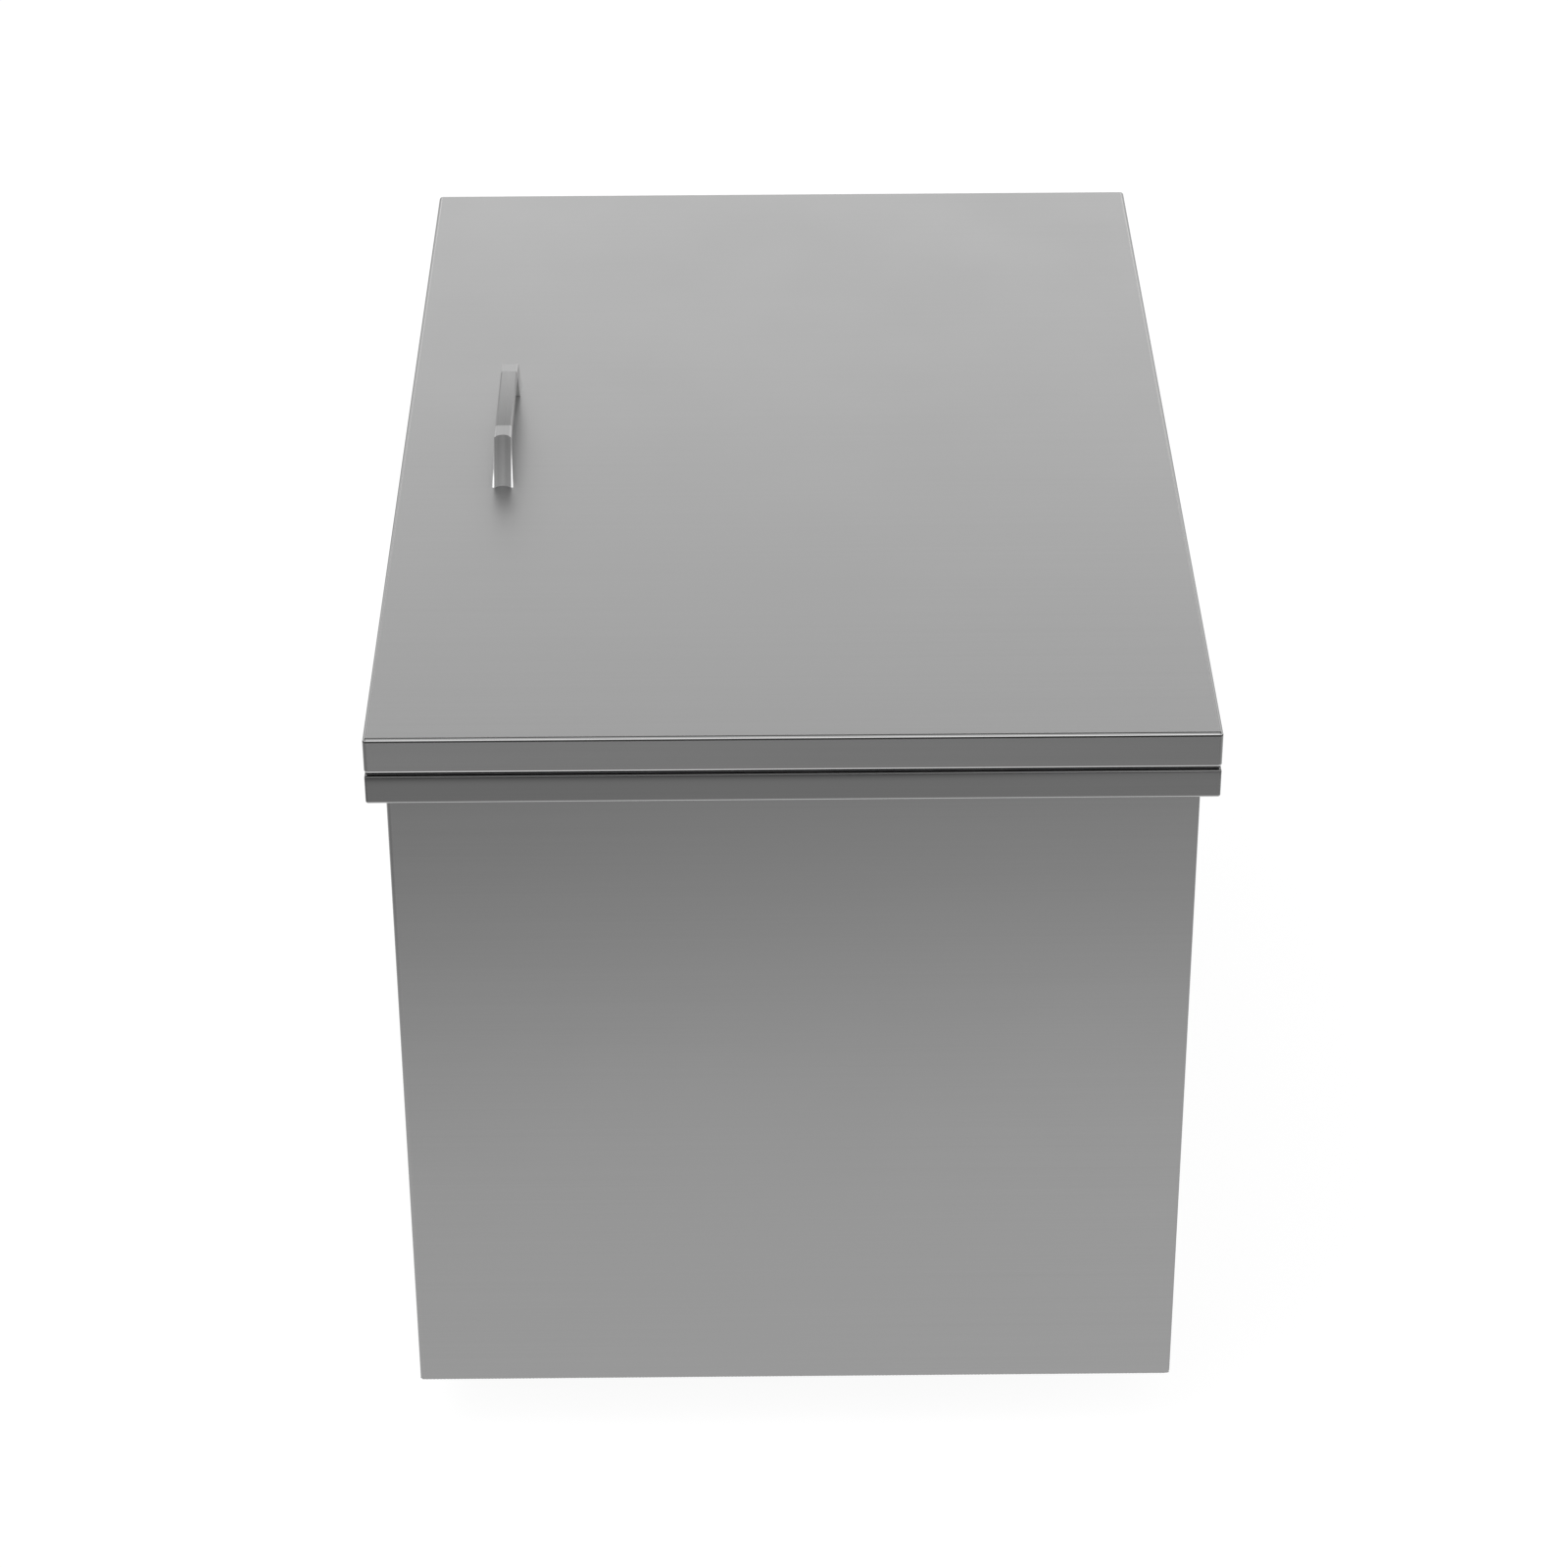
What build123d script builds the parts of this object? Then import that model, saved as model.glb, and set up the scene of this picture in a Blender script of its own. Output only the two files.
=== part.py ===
from build123d import *
import os
from math import atan2, degrees, hypot

# A drop-in ice bin in folded stainless sheet, in millimetres, +Z up.
# X runs along the lid's long side, the hinge is towards +Y and the handle towards -Y.
# The origin is the middle of the counter cut-out, in the plane of the counter's top.

# Outer sizes
lid_length = 711.0
lid_depth = 457.0
lid_height = 21.6
rim_height = 17.0
rim_overhang = 10.0
body_drop = 400.0

# Sheet thicknesses and folds
lid_sheet = 1.0
rim_sheet = 1.0
wrap_sheet = 0.8
base_sheet = 0.8
liner_sheet = 0.8
lid_liner_sheet = 0.6
bend_radius = 2.2
rim_bend_radius = 1.4
overrun = 1.0

# Tank and its insulation
wall_foam = 22.0
floor_foam = 26.0
tank_corner_radius = 15.0
tank_cove_radius = 12.0
crease_border = 6.0
crease_fall = 6.0
sump_side = 84.0
throat_depth = 12.0
mouth_radius = 3.0

# Outer casing
back_flange = 12.0
flange_notch_gap = 1.0
base_flange = 15.0
base_corner_radius = 2.0
base_bend_radius = 1.5

# Lid inside
lid_return = 28.0
liner_lap = 7.0
liner_step = 9.6
liner_clearance = 4.0
liner_bend_radius = 3.0
foam_edge_gap = 0.3

# Seal between lid and rim
seal_inset = 4.0
seal_back_inset = 14.0
seal_width = 6.0
seal_corner_radius = 8.0
seal_rest_gap = 0.1

# Continuous hinge, folded shut in the seam with both leaves flat
hinge_length = 640.0
knuckle_count = 31
knuckle_side_gap = 0.4
leaf_sheet = 0.6
leaf_gap = 0.1
leaf_width = 14.0
pin_radius = 1.2
pin_clearance = 0.05
knuckle_swing_gap = 0.3
roll_slit = 0.2
pin_head_radius = 1.7
pin_head_length = 0.8
stiffener_height = 3.0
stiffener_width = 11.0

# Bow handle with splayed, scooped legs
handle_edge_distance = 61.5
handle_length = 134.4
handle_height = 25.1
handle_width = 9.8
handle_foot_width = 12.0
handle_leg_run = 17.8
shoulder_length = 13.2
shoulder_fall = 0.8
handle_foot = 14.0
handle_grip_thickness = 5.5
handle_leg_top = 9.0
handle_inner_radius = 4.0
handle_edge_bevel = 0.9
scoop_depth = 1.8
scoop_width = 8.9
handle_screw_inset = 10.0
handle_screw_radius = 2.0
handle_screw_bite = 6.0
screw_clearance = 0.05
screw_socket_flats = 2.5
screw_socket_depth = 0.9
screw_hole_clearance = 0.25
handle_screw_head_radius = 4.0
handle_screw_head_height = 2.6
backing_margin = 12.0
backing_width = 24.0
backing_sheet = 1.5
foam_pocket_gap = 0.5

# Drain through the floor and the base
drain_flange_radius = 36.0
drain_flange_sheet = 2.2
drain_flange_edge = 1.0
drain_washer_sheet = 0.8
drain_seat_radius = 24.0
drain_shelf_radius = 20.5
drain_shelf_depth = 8.0
drain_cup_radius = 25.5
drain_cup_floor = 3.0
drain_hole_gap = 0.5
drain_funnel_radius = 17.5
drain_funnel_depth = 7.0
tail_radius = 16.6
tail_gap = 0.4
thread_spare = 2.5
spigot_radius = 12.7
spigot_length = 25.0
spigot_bore_radius = 10.7
spigot_chamfer = 1.0
sleeve_wall = 3.0
lock_washer_sheet = 1.5
lock_washer_radius = 27.0
locknut_across_flats = 46.0
locknut_height = 10.0
nut_thread_gap = 0.1
strainer_sheet = 1.0
strainer_edge_gap = 0.3
strainer_hole_radius = 1.8
strainer_inner_ring = 8.5
strainer_inner_count = 8
strainer_outer_ring = 14.0
strainer_outer_count = 14
crossbar_width = 7.0
crossbar_height = 3.0
crossbar_end_gap = 1.5
strainer_screw_radius = 2.0
strainer_screw_head_radius = 3.6
strainer_screw_head_height = 1.6
strainer_screw_overhang = 1.5

# Rubber stopper in the drain
plug_lip_radius = 28.0
plug_lip_height = 3.5
plug_lip_edge = 1.0
plug_depth = 7.0
plug_gap = 0.5
plug_boss_radius = 12.0
plug_boss_height = 3.0
loop_radius = 8.0
loop_wire_radius = 1.3
loop_leg = 10.0
loop_embed = 5.0

# Levels and spans that follow
seam_gap = 2 * leaf_sheet + leaf_gap
lid_low = rim_height + seam_gap
lid_top = lid_low + lid_height
body_length = lid_length - 2 * rim_overhang
body_depth = lid_depth - 2 * rim_overhang
wall_build = wrap_sheet + wall_foam + liner_sheet
mouth_length = body_length - 2 * wall_build
mouth_depth = body_depth - 2 * wall_build
body_low = -body_drop
base_top = body_low + base_sheet
tank_floor = base_top + floor_foam + liner_sheet
sump_level = tank_floor - crease_fall
throat_low = rim_height - throat_depth
hinge_level = rim_height + seam_gap / 2
knuckle_bore_radius = pin_radius + pin_clearance
knuckle_radius = knuckle_bore_radius + leaf_sheet
crossbar_length = 2 * (drain_shelf_radius - crossbar_end_gap)
# The knuckle nests between the folds of lid and rim and clears the sharper one by the swing gap.
sharper_fold = min(bend_radius, rim_bend_radius)
fold_rise = sharper_fold + seam_gap / 2
fold_reach = sharper_fold + knuckle_radius + knuckle_swing_gap
hinge_overhang = (fold_reach**2 - fold_rise**2) ** 0.5 - sharper_fold
hinge_back = lid_depth / 2 + hinge_overhang
handle_back = handle_edge_distance - lid_depth / 2
handle_screw_spacing = handle_length - 2 * handle_screw_inset
backing_length = handle_screw_spacing + 2 * backing_margin

low_middle = (Align.CENTER, Align.CENTER, Align.MIN)


def block(length, depth, height, low):
    """A plain block over the origin with its underside at low."""
    return Pos(0, 0, low) * Box(length, depth, height, align=low_middle)


def folded_block(length, depth, height, radius, low):
    """A block with every edge rounded as a folded and ground sheet box is."""
    plain = block(length, depth, height, low)
    return fillet(plain.edges(), radius)


def round_block(length, depth, radius, low, high):
    """A block with rounded upright corners between two levels."""
    outline = Pos(0, 0, low) * RectangleRounded(length, depth, radius)
    return extrude(outline, high - low)


def round_bar(radius, low, high):
    """An upright round bar on the Z axis between two levels."""
    return Pos(0, 0, low) * Cylinder(radius, high - low, align=low_middle)


def edges_at(edges, level):
    """Those of the edges that lie at a height."""
    slack = overrun / 4
    return edges.filter_by_position(Axis.Z, level - slack, level + slack)


def turned(points):
    """A solid of revolution about Z from half-section points, radius first."""
    outline = make_face(Plane.XZ * Polyline(*points, close=True))
    return revolve(outline, Axis.Z)


def tank_block(grow):
    """The tank's hollow, swollen by a sheet thickness, with coves and a creased floor."""
    low = tank_floor - grow
    length = mouth_length + 2 * grow
    depth = mouth_depth + 2 * grow
    well = round_block(length, depth, tank_corner_radius + grow, low, throat_low)
    well = fillet(well.faces().sort_by(Axis.Z)[0].edges(), tank_cove_radius + grow)
    border = tank_cove_radius + crease_border
    wide_length = mouth_length - 2 * border
    wide_depth = mouth_depth - 2 * border
    fall = Wedge(
        wide_length,
        crease_fall,
        wide_depth,
        (wide_length - sump_side) / 2,
        (wide_depth - sump_side) / 2,
        (wide_length + sump_side) / 2,
        (wide_depth + sump_side) / 2,
        align=(Align.CENTER, Align.MIN, Align.CENTER),
    )
    return well + Pos(0, 0, low) * Rot(-90, 0, 0) * fall


def tank_liner():
    """The deep-drawn tank, coved all round, its floor creased to fall to the drain."""
    shell = tank_block(liner_sheet) - tank_block(0)
    drain_hole = round_bar(
        drain_cup_radius + drain_hole_gap,
        sump_level - liner_sheet - overrun,
        sump_level + overrun,
    )
    return shell - drain_hole


def top_rim():
    """The folded rim that hangs on the counter, turned down into the tank's mouth."""
    outside = folded_block(lid_length, lid_depth, rim_height, rim_bend_radius, 0)
    inside = folded_block(
        lid_length - 2 * rim_sheet,
        lid_depth - 2 * rim_sheet,
        rim_height - 2 * rim_sheet,
        rim_bend_radius - rim_sheet,
        rim_sheet,
    )
    under = block(body_length, body_depth, rim_sheet + overrun, -overrun)
    shell = outside - inside - under
    throat = round_block(
        mouth_length + 2 * rim_sheet,
        mouth_depth + 2 * rim_sheet,
        tank_corner_radius + rim_sheet,
        throat_low,
        rim_height,
    )
    rim = shell + throat
    hidden = edges_at(rim.edges(), rim_height - rim_sheet)
    for axis, span in ((Axis.X, mouth_length), (Axis.Y, mouth_depth)):
        reach = span / 2 + mouth_radius
        hidden = hidden.filter_by_position(axis, -reach, reach)
    rim = fillet(hidden, mouth_radius - rim_sheet)
    rim -= round_block(
        mouth_length,
        mouth_depth,
        tank_corner_radius,
        throat_low - overrun,
        rim_height + overrun,
    )
    lip = rim.faces().sort_by(Axis.Z)[-1].inner_wires()[0].edges()
    return fillet(lip, mouth_radius)


def front_wrap():
    """Front and both ends of the casing, one sheet folded round two corners."""
    high = rim_height - rim_sheet
    outside = block(body_length, body_depth, high - body_low, body_low)
    inside = block(
        body_length - 2 * wrap_sheet,
        body_depth - 2 * wrap_sheet,
        high - body_low + 2 * overrun,
        body_low - overrun,
    )
    outside = fillet(outside.edges().filter_by(Axis.Z).group_by(Axis.Y)[0], bend_radius)
    inside = fillet(inside.edges().filter_by(Axis.Z).group_by(Axis.Y)[0], bend_radius - wrap_sheet)
    back_gap = Pos(0, body_depth / 2, 0) * block(
        body_length - 2 * wrap_sheet,
        2 * wrap_sheet + overrun,
        high - body_low + 2 * overrun,
        body_low - overrun,
    )
    return outside - inside - back_gap


def back_panel():
    """The back of the casing, let in between the wrap's ends with a flange along each."""
    high = rim_height - rim_sheet
    width = body_length - 2 * wrap_sheet
    flange_low = body_low + base_flange + flange_notch_gap
    back = body_depth / 2
    tray = Pos(0, back - back_flange / 2, 0) * block(width, back_flange, high - body_low, body_low)
    hollow = Pos(0, back - wrap_sheet - back_flange / 2, 0) * block(
        width - 2 * wrap_sheet,
        back_flange,
        high - body_low + 2 * overrun,
        body_low - overrun,
    )
    notch = Pos(0, back - wrap_sheet - back_flange / 2, 0) * block(
        width + 2 * overrun,
        back_flange,
        flange_low - body_low + overrun,
        body_low - overrun,
    )
    return tray - hollow - notch


def base_pan():
    """The shallow tray that closes the casing underneath, with its drain hole."""
    length = body_length - 2 * wrap_sheet
    depth = body_depth - 2 * wrap_sheet
    tray = round_block(length, depth, base_corner_radius, body_low, body_low + base_flange)
    tray = fillet(tray.faces().sort_by(Axis.Z)[0].edges(), base_bend_radius)
    hollow = round_block(
        length - 2 * base_sheet,
        depth - 2 * base_sheet,
        base_corner_radius - base_sheet,
        base_top,
        body_low + base_flange + overrun,
    )
    hollow = fillet(hollow.faces().sort_by(Axis.Z)[0].edges(), base_bend_radius - base_sheet)
    hole = round_bar(tail_radius + tail_gap, body_low - overrun, base_top + overrun)
    return tray - hollow - hole


def floor_board():
    """The foam board under the tank, hollowed for the creased floor and the drain."""
    inset = wrap_sheet + base_sheet + base_corner_radius
    board = block(body_length - 2 * inset, body_depth - 2 * inset, floor_foam, base_top)
    shaft = round_bar(
        drain_cup_radius + drain_hole_gap + sleeve_wall,
        base_top - overrun,
        base_top + floor_foam + overrun,
    )
    return board - tank_block(liner_sheet) - shaft


def wall_boards():
    """The four upright foam boards, long ones front and back, short ones between them."""
    low = base_top + floor_foam
    height = throat_low - low
    long_span = body_length - 2 * (wrap_sheet + bend_radius)
    short_span = body_depth - 2 * (wrap_sheet + wall_foam)
    out_y = body_depth / 2 - wrap_sheet - wall_foam / 2
    out_x = body_length / 2 - wrap_sheet - wall_foam / 2
    long_board = block(long_span, wall_foam, height, low)
    short_board = block(wall_foam, short_span, height, low)
    return {
        "foam_board_front": Pos(0, -out_y, 0) * long_board,
        "foam_board_back": Pos(0, out_y, 0) * long_board,
        "foam_board_left": Pos(-out_x, 0, 0) * short_board,
        "foam_board_right": Pos(out_x, 0, 0) * short_board,
    }


def lid_pan():
    """The lid's outer pan, folded down and then back in under itself all round."""
    outside = folded_block(lid_length, lid_depth, lid_height, bend_radius, lid_low)
    inside = folded_block(
        lid_length - 2 * lid_sheet,
        lid_depth - 2 * lid_sheet,
        lid_height - 2 * lid_sheet,
        bend_radius - lid_sheet,
        lid_low + lid_sheet,
    )
    under = block(
        lid_length - 2 * lid_return,
        lid_depth - 2 * lid_return,
        lid_sheet + overrun,
        lid_low - overrun,
    )
    pan = outside - inside - under
    for side in (-1, 1):
        place = Pos(side * handle_screw_spacing / 2, handle_back, 0)
        pan -= place * round_bar(
            handle_screw_radius + screw_hole_clearance, lid_top - lid_sheet - overrun, lid_top + overrun
        )
    return pan


def lid_liner():
    """The pan under the lid, lapped on the fold and stepped down into the tank's mouth."""
    low = lid_low - liner_step
    lap = lid_return - liner_lap
    flange = block(lid_length - 2 * lap, lid_depth - 2 * lap, lid_liner_sheet, lid_low - lid_liner_sheet)
    radius = tank_corner_radius - liner_clearance
    length = mouth_length - 2 * liner_clearance
    depth = mouth_depth - 2 * liner_clearance
    step = round_block(length, depth, radius, low, lid_low)
    step = fillet(step.faces().sort_by(Axis.Z)[0].edges(), liner_bend_radius)
    hollow = round_block(
        length - 2 * lid_liner_sheet,
        depth - 2 * lid_liner_sheet,
        radius - lid_liner_sheet,
        low + lid_liner_sheet,
        lid_low + overrun,
    )
    hollow = fillet(hollow.faces().sort_by(Axis.Z)[0].edges(), liner_bend_radius - lid_liner_sheet)
    return flange + step - hollow


def lid_foam():
    """The slab of foam inside the lid, stepped as the liner is and pocketed for what it meets."""
    inset = bend_radius + foam_edge_gap
    slab_low = lid_low + lid_sheet
    slab = block(
        lid_length - 2 * inset,
        lid_depth - 2 * inset,
        lid_height - 2 * lid_sheet,
        slab_low,
    )
    tight = liner_clearance + lid_liner_sheet + liner_bend_radius
    step = round_block(
        mouth_length - 2 * tight,
        mouth_depth - 2 * tight,
        tank_corner_radius - liner_clearance,
        lid_low - liner_step + lid_liner_sheet,
        slab_low,
    )
    pocket_height = backing_sheet + handle_screw_head_height + foam_pocket_gap
    plate_pocket = Pos(0, handle_back, 0) * block(
        backing_length + 2 * foam_pocket_gap,
        backing_width + 2 * foam_pocket_gap,
        pocket_height + overrun,
        lid_top - lid_sheet - pocket_height,
    )
    bar_pocket = Pos(0, lid_stiffener_middle(), 0) * block(
        hinge_length + 2 * foam_pocket_gap,
        stiffener_width + 2 * foam_pocket_gap,
        stiffener_height + foam_pocket_gap + overrun,
        slab_low - overrun,
    )
    return slab + step - plate_pocket - bar_pocket


def lid_seal():
    """The flat rubber seal that fills the seam just inside the edge."""
    length = lid_length - 2 * seal_inset
    depth = lid_depth - seal_inset - seal_back_inset
    middle = (seal_inset - seal_back_inset) / 2
    low = rim_height + seal_rest_gap
    ring = round_block(length, depth, seal_corner_radius, low, lid_low)
    ring -= round_block(
        length - 2 * seal_width,
        depth - 2 * seal_width,
        seal_corner_radius - seal_width,
        low - overrun,
        lid_low + overrun,
    )
    return Pos(0, middle, 0) * ring


def hinge_section(upper):
    """The rolled knuckle's section about the hinge axis, with the tongue to its leaf."""
    side = 1 if upper else -1
    leaf_near = leaf_gap / 2
    tongue_start = knuckle_radius + knuckle_swing_gap
    tongue_end = (knuckle_bore_radius + knuckle_radius) / 2
    tongue = Pos(-(tongue_start + tongue_end) / 2, side * (leaf_near + leaf_sheet / 2)) * Rectangle(
        tongue_start - tongue_end, leaf_sheet
    )
    slit_run = knuckle_radius - knuckle_bore_radius / 2
    slit_middle = (knuckle_radius + knuckle_bore_radius / 2) / 2 + overrun / 2
    slit = Pos(-slit_middle, side * (leaf_near - roll_slit / 2)) * Rectangle(slit_run + overrun, roll_slit)
    return Circle(knuckle_radius) - Circle(knuckle_bore_radius) - slit + tongue


def hinge_leaf(upper):
    """One leaf with every second knuckle, cut back where the other leaf's knuckles turn."""
    pitch = hinge_length / knuckle_count
    near = knuckle_radius + knuckle_swing_gap
    side = 1 if upper else -1
    level = side * (leaf_gap / 2 + leaf_sheet / 2)
    plate = Pos(0, -(near + leaf_width) / 2, level) * Box(hinge_length, leaf_width - near, leaf_sheet)
    section_plane = Plane(origin=(0, 0, 0), x_dir=(0, 1, 0), z_dir=(1, 0, 0))
    section = section_plane * hinge_section(upper)
    knuckle = extrude(section, pitch / 2 - knuckle_side_gap / 2, both=True)
    first = 1 if upper else 0
    places = [Pos((i + 0.5) * pitch - hinge_length / 2, 0, 0) for i in range(first, knuckle_count, 2)]
    leaf = plate + [place * knuckle for place in places]
    return Pos(0, hinge_back, hinge_level) * leaf


def hinge_pin():
    """The full-length pin, headed over at both ends."""
    head_start = hinge_length / 2 - knuckle_side_gap / 2
    pin = Rot(0, 90, 0) * Cylinder(pin_radius, 2 * head_start)
    for side in (-1, 1):
        head = Rot(0, 90, 0) * Cylinder(pin_head_radius, pin_head_length)
        pin += Pos(side * (head_start + pin_head_length / 2), 0, 0) * head
    return Pos(0, hinge_back, hinge_level) * pin


def rim_stiffener():
    """The bar in the rim behind the lower leaf, between the casing and the rim's skirt."""
    room = rim_overhang - rim_bend_radius
    bar = block(hinge_length, room, stiffener_height, rim_height - rim_sheet - stiffener_height)
    return Pos(0, body_depth / 2 + room / 2, 0) * bar


def lid_stiffener_middle():
    """How far back the middle of the lid's hinge bar lies."""
    return lid_depth / 2 - bend_radius - stiffener_width / 2


def lid_stiffener():
    """The bar in the lid above the upper leaf, on the folded-in edge."""
    bar = block(hinge_length, stiffener_width, stiffener_height, lid_low + lid_sheet)
    return Pos(0, lid_stiffener_middle(), 0) * bar


def handle_plan():
    """The handle seen from above: straight along the grip, wider towards both feet."""
    half = handle_length / 2
    leg_top = half - handle_leg_run
    foot_side = handle_foot_width / 2
    splay = [(half + overrun, foot_side), (half, foot_side), (leg_top, handle_width / 2)]
    back_line = splay + [(-x, y) for x, y in reversed(splay)]
    front_line = [(x, -y) for x, y in reversed(back_line)]
    return extrude(make_face(Polyline(*back_line, *front_line, close=True)), handle_height)


def handle_bar():
    """The bow handle: bevelled grip and shoulders, splayed and flared legs with scooped faces."""
    half = handle_length / 2
    leg_top = half - handle_leg_run
    leg_height = handle_height - shoulder_fall
    grip_end = leg_top - shoulder_length
    under = handle_height - handle_grip_thickness
    foot_in = half - handle_foot
    crotch = leg_top - handle_leg_top
    outer = [(half, 0), (leg_top, leg_height), (grip_end, handle_height)]
    inner = [(crotch, under), (foot_in, 0)]
    near_side = outer[::-1] + inner[::-1]
    far_side = [(-x, z) for x, z in reversed(near_side)]
    outline = make_face(Plane.XZ * Polyline(*near_side, *far_side, close=True))
    bow = extrude(outline, handle_foot_width / 2, both=True) & handle_plan()
    corners = edges_at(bow.edges().filter_by(Axis.Y), under)
    bow = fillet(corners, handle_inner_radius)
    high_edges = bow.edges().filter_by_position(Axis.Z, leg_height - overrun, handle_height + overrun)
    bow = chamfer(high_edges - high_edges.filter_by(Axis.Y), handle_edge_bevel)
    scoop_radius = scoop_width**2 / (8 * scoop_depth) + scoop_depth / 2
    slope = degrees(atan2(handle_leg_run, leg_height))
    leg = hypot(handle_leg_run, leg_height)
    for side in (-1, 1):
        middle = Pos(side * (half + leg_top) / 2, 0, leg_height / 2) * Rot(0, -side * slope, 0)
        out = Pos(side * (scoop_radius - scoop_depth), 0, 0)
        bow -= middle * out * Cylinder(scoop_radius, 2 * leg)
        screw = round_bar(handle_screw_radius + screw_clearance, -overrun, handle_screw_bite)
        bow -= Pos(side * handle_screw_spacing / 2, 0, 0) * screw
    return Pos(0, handle_back, lid_top) * bow


def handle_backing():
    """The strip inside the lid that spreads the handle's load."""
    high = lid_top - lid_sheet
    plate = block(backing_length, backing_width, backing_sheet, high - backing_sheet)
    for side in (-1, 1):
        hole = round_bar(
            handle_screw_radius + screw_hole_clearance, high - backing_sheet - overrun, high + overrun
        )
        plate -= Pos(side * handle_screw_spacing / 2, 0, 0) * hole
    return Pos(0, handle_back, 0) * plate


def screw_socket(low):
    """The six-sided recess that a key turns a screw by, cut upwards from a height."""
    outline = Pos(0, 0, low) * RegularPolygon(screw_socket_flats / 2, 6, major_radius=False)
    return extrude(outline, screw_socket_depth)


def handle_screws():
    """The two pan-head screws from inside the lid into the handle's feet."""
    seat = lid_top - lid_sheet - backing_sheet
    tip = lid_top + handle_screw_bite - screw_clearance
    head_low = seat - handle_screw_head_height
    head = round_bar(handle_screw_head_radius, head_low, seat)
    head = chamfer(head.edges().sort_by(Axis.Z)[0], handle_screw_head_height / 2)
    screw = head + round_bar(handle_screw_radius, seat, tip) - screw_socket(head_low)
    places = [Pos(side * handle_screw_spacing / 2, handle_back, 0) for side in (-1, 1)]
    return Compound([place * screw for place in places])


def drain_seat_radius_at(height):
    """The conical seat's radius at a height above the sump."""
    top = drain_washer_sheet + drain_flange_sheet
    share_up = (height + drain_shelf_depth) / (top + drain_shelf_depth)
    return drain_shelf_radius + share_up * (drain_seat_radius - drain_shelf_radius)


def drain_body():
    """The drain: flange in the sump, conical seat, slotted shelf, funnel and threaded tail."""
    flange_low = sump_level + drain_washer_sheet
    flange_top = flange_low + drain_flange_sheet
    shelf = sump_level - drain_shelf_depth
    cup_low = shelf - drain_cup_floor
    thread_low = body_low - lock_washer_sheet - locknut_height - thread_spare
    spigot_low = thread_low - spigot_length
    points = [
        (drain_seat_radius, flange_top),
        (drain_flange_radius - drain_flange_edge, flange_top),
        (drain_flange_radius, flange_top - drain_flange_edge),
        (drain_flange_radius, flange_low),
        (drain_cup_radius, flange_low),
        (drain_cup_radius, cup_low),
        (tail_radius, cup_low - drain_funnel_depth),
        (tail_radius, thread_low),
        (spigot_radius, thread_low),
        (spigot_radius, spigot_low + spigot_chamfer),
        (spigot_radius - spigot_chamfer, spigot_low),
        (spigot_bore_radius, spigot_low),
        (spigot_bore_radius, shelf - drain_funnel_depth),
        (drain_funnel_radius, shelf),
        (drain_shelf_radius, shelf),
    ]
    slots = block(crossbar_length, crossbar_width, crossbar_height + overrun, shelf - crossbar_height)
    return turned(points) - slots


def drain_crossbar():
    """The bar let into two slots in the drain's shelf, tapped for the strainer's screw."""
    shelf = sump_level - drain_shelf_depth
    bar = block(crossbar_length, crossbar_width, crossbar_height, shelf - crossbar_height)
    return bar - round_bar(
        strainer_screw_radius + screw_clearance, shelf - crossbar_height - overrun, shelf + overrun
    )


def drain_ring(inner_radius, outer_radius, low, high):
    """A flat ring round the drain's axis."""
    return round_bar(outer_radius, low, high) - round_bar(inner_radius, low - overrun, high + overrun)


def drain_washer():
    """The rubber washer between the drain's flange and the sump."""
    inner = drain_cup_radius + drain_hole_gap
    return drain_ring(inner, drain_flange_radius, sump_level, sump_level + drain_washer_sheet)


def drain_sleeve():
    """The spacer that holds tank floor and base apart where the drain clamps them."""
    inner = drain_cup_radius + drain_hole_gap
    return drain_ring(inner, inner + sleeve_wall, base_top, sump_level - liner_sheet)


def lock_washer():
    """The fibre washer under the base."""
    low = body_low - lock_washer_sheet
    return drain_ring(tail_radius + tail_gap, lock_washer_radius, low, body_low)


def drain_locknut():
    """The six-sided nut that draws the drain down."""
    high = body_low - lock_washer_sheet
    low = high - locknut_height
    outline = Pos(0, 0, low) * RegularPolygon(locknut_across_flats / 2, 6, major_radius=False)
    nut = extrude(outline, locknut_height)
    return nut - round_bar(tail_radius + nut_thread_gap, low - overrun, high + overrun)


def drain_strainer():
    """The perforated disc on the drain's shelf."""
    low = sump_level - drain_shelf_depth
    high = low + strainer_sheet
    disc = round_bar(drain_shelf_radius - strainer_edge_gap, low, high)
    disc -= round_bar(strainer_screw_radius + screw_hole_clearance, low - overrun, high + overrun)
    hole = round_bar(strainer_hole_radius, low - overrun, high + overrun)
    rings = ((strainer_inner_ring, strainer_inner_count), (strainer_outer_ring, strainer_outer_count))
    for ring_radius, count in rings:
        places = PolarLocations(ring_radius, count)
        disc -= [place * hole for place in places]
    return disc


def strainer_screw():
    """The screw that holds the strainer to the crossbar."""
    shelf = sump_level - drain_shelf_depth
    seat = shelf + strainer_sheet
    head = round_bar(strainer_screw_head_radius, seat, seat + strainer_screw_head_height)
    head = fillet(head.edges().sort_by(Axis.Z)[-1], strainer_screw_head_height / 2)
    tip = shelf - crossbar_height - strainer_screw_overhang
    socket = screw_socket(seat + strainer_screw_head_height - screw_socket_depth)
    return head + round_bar(strainer_screw_radius, tip, seat) - socket


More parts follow.
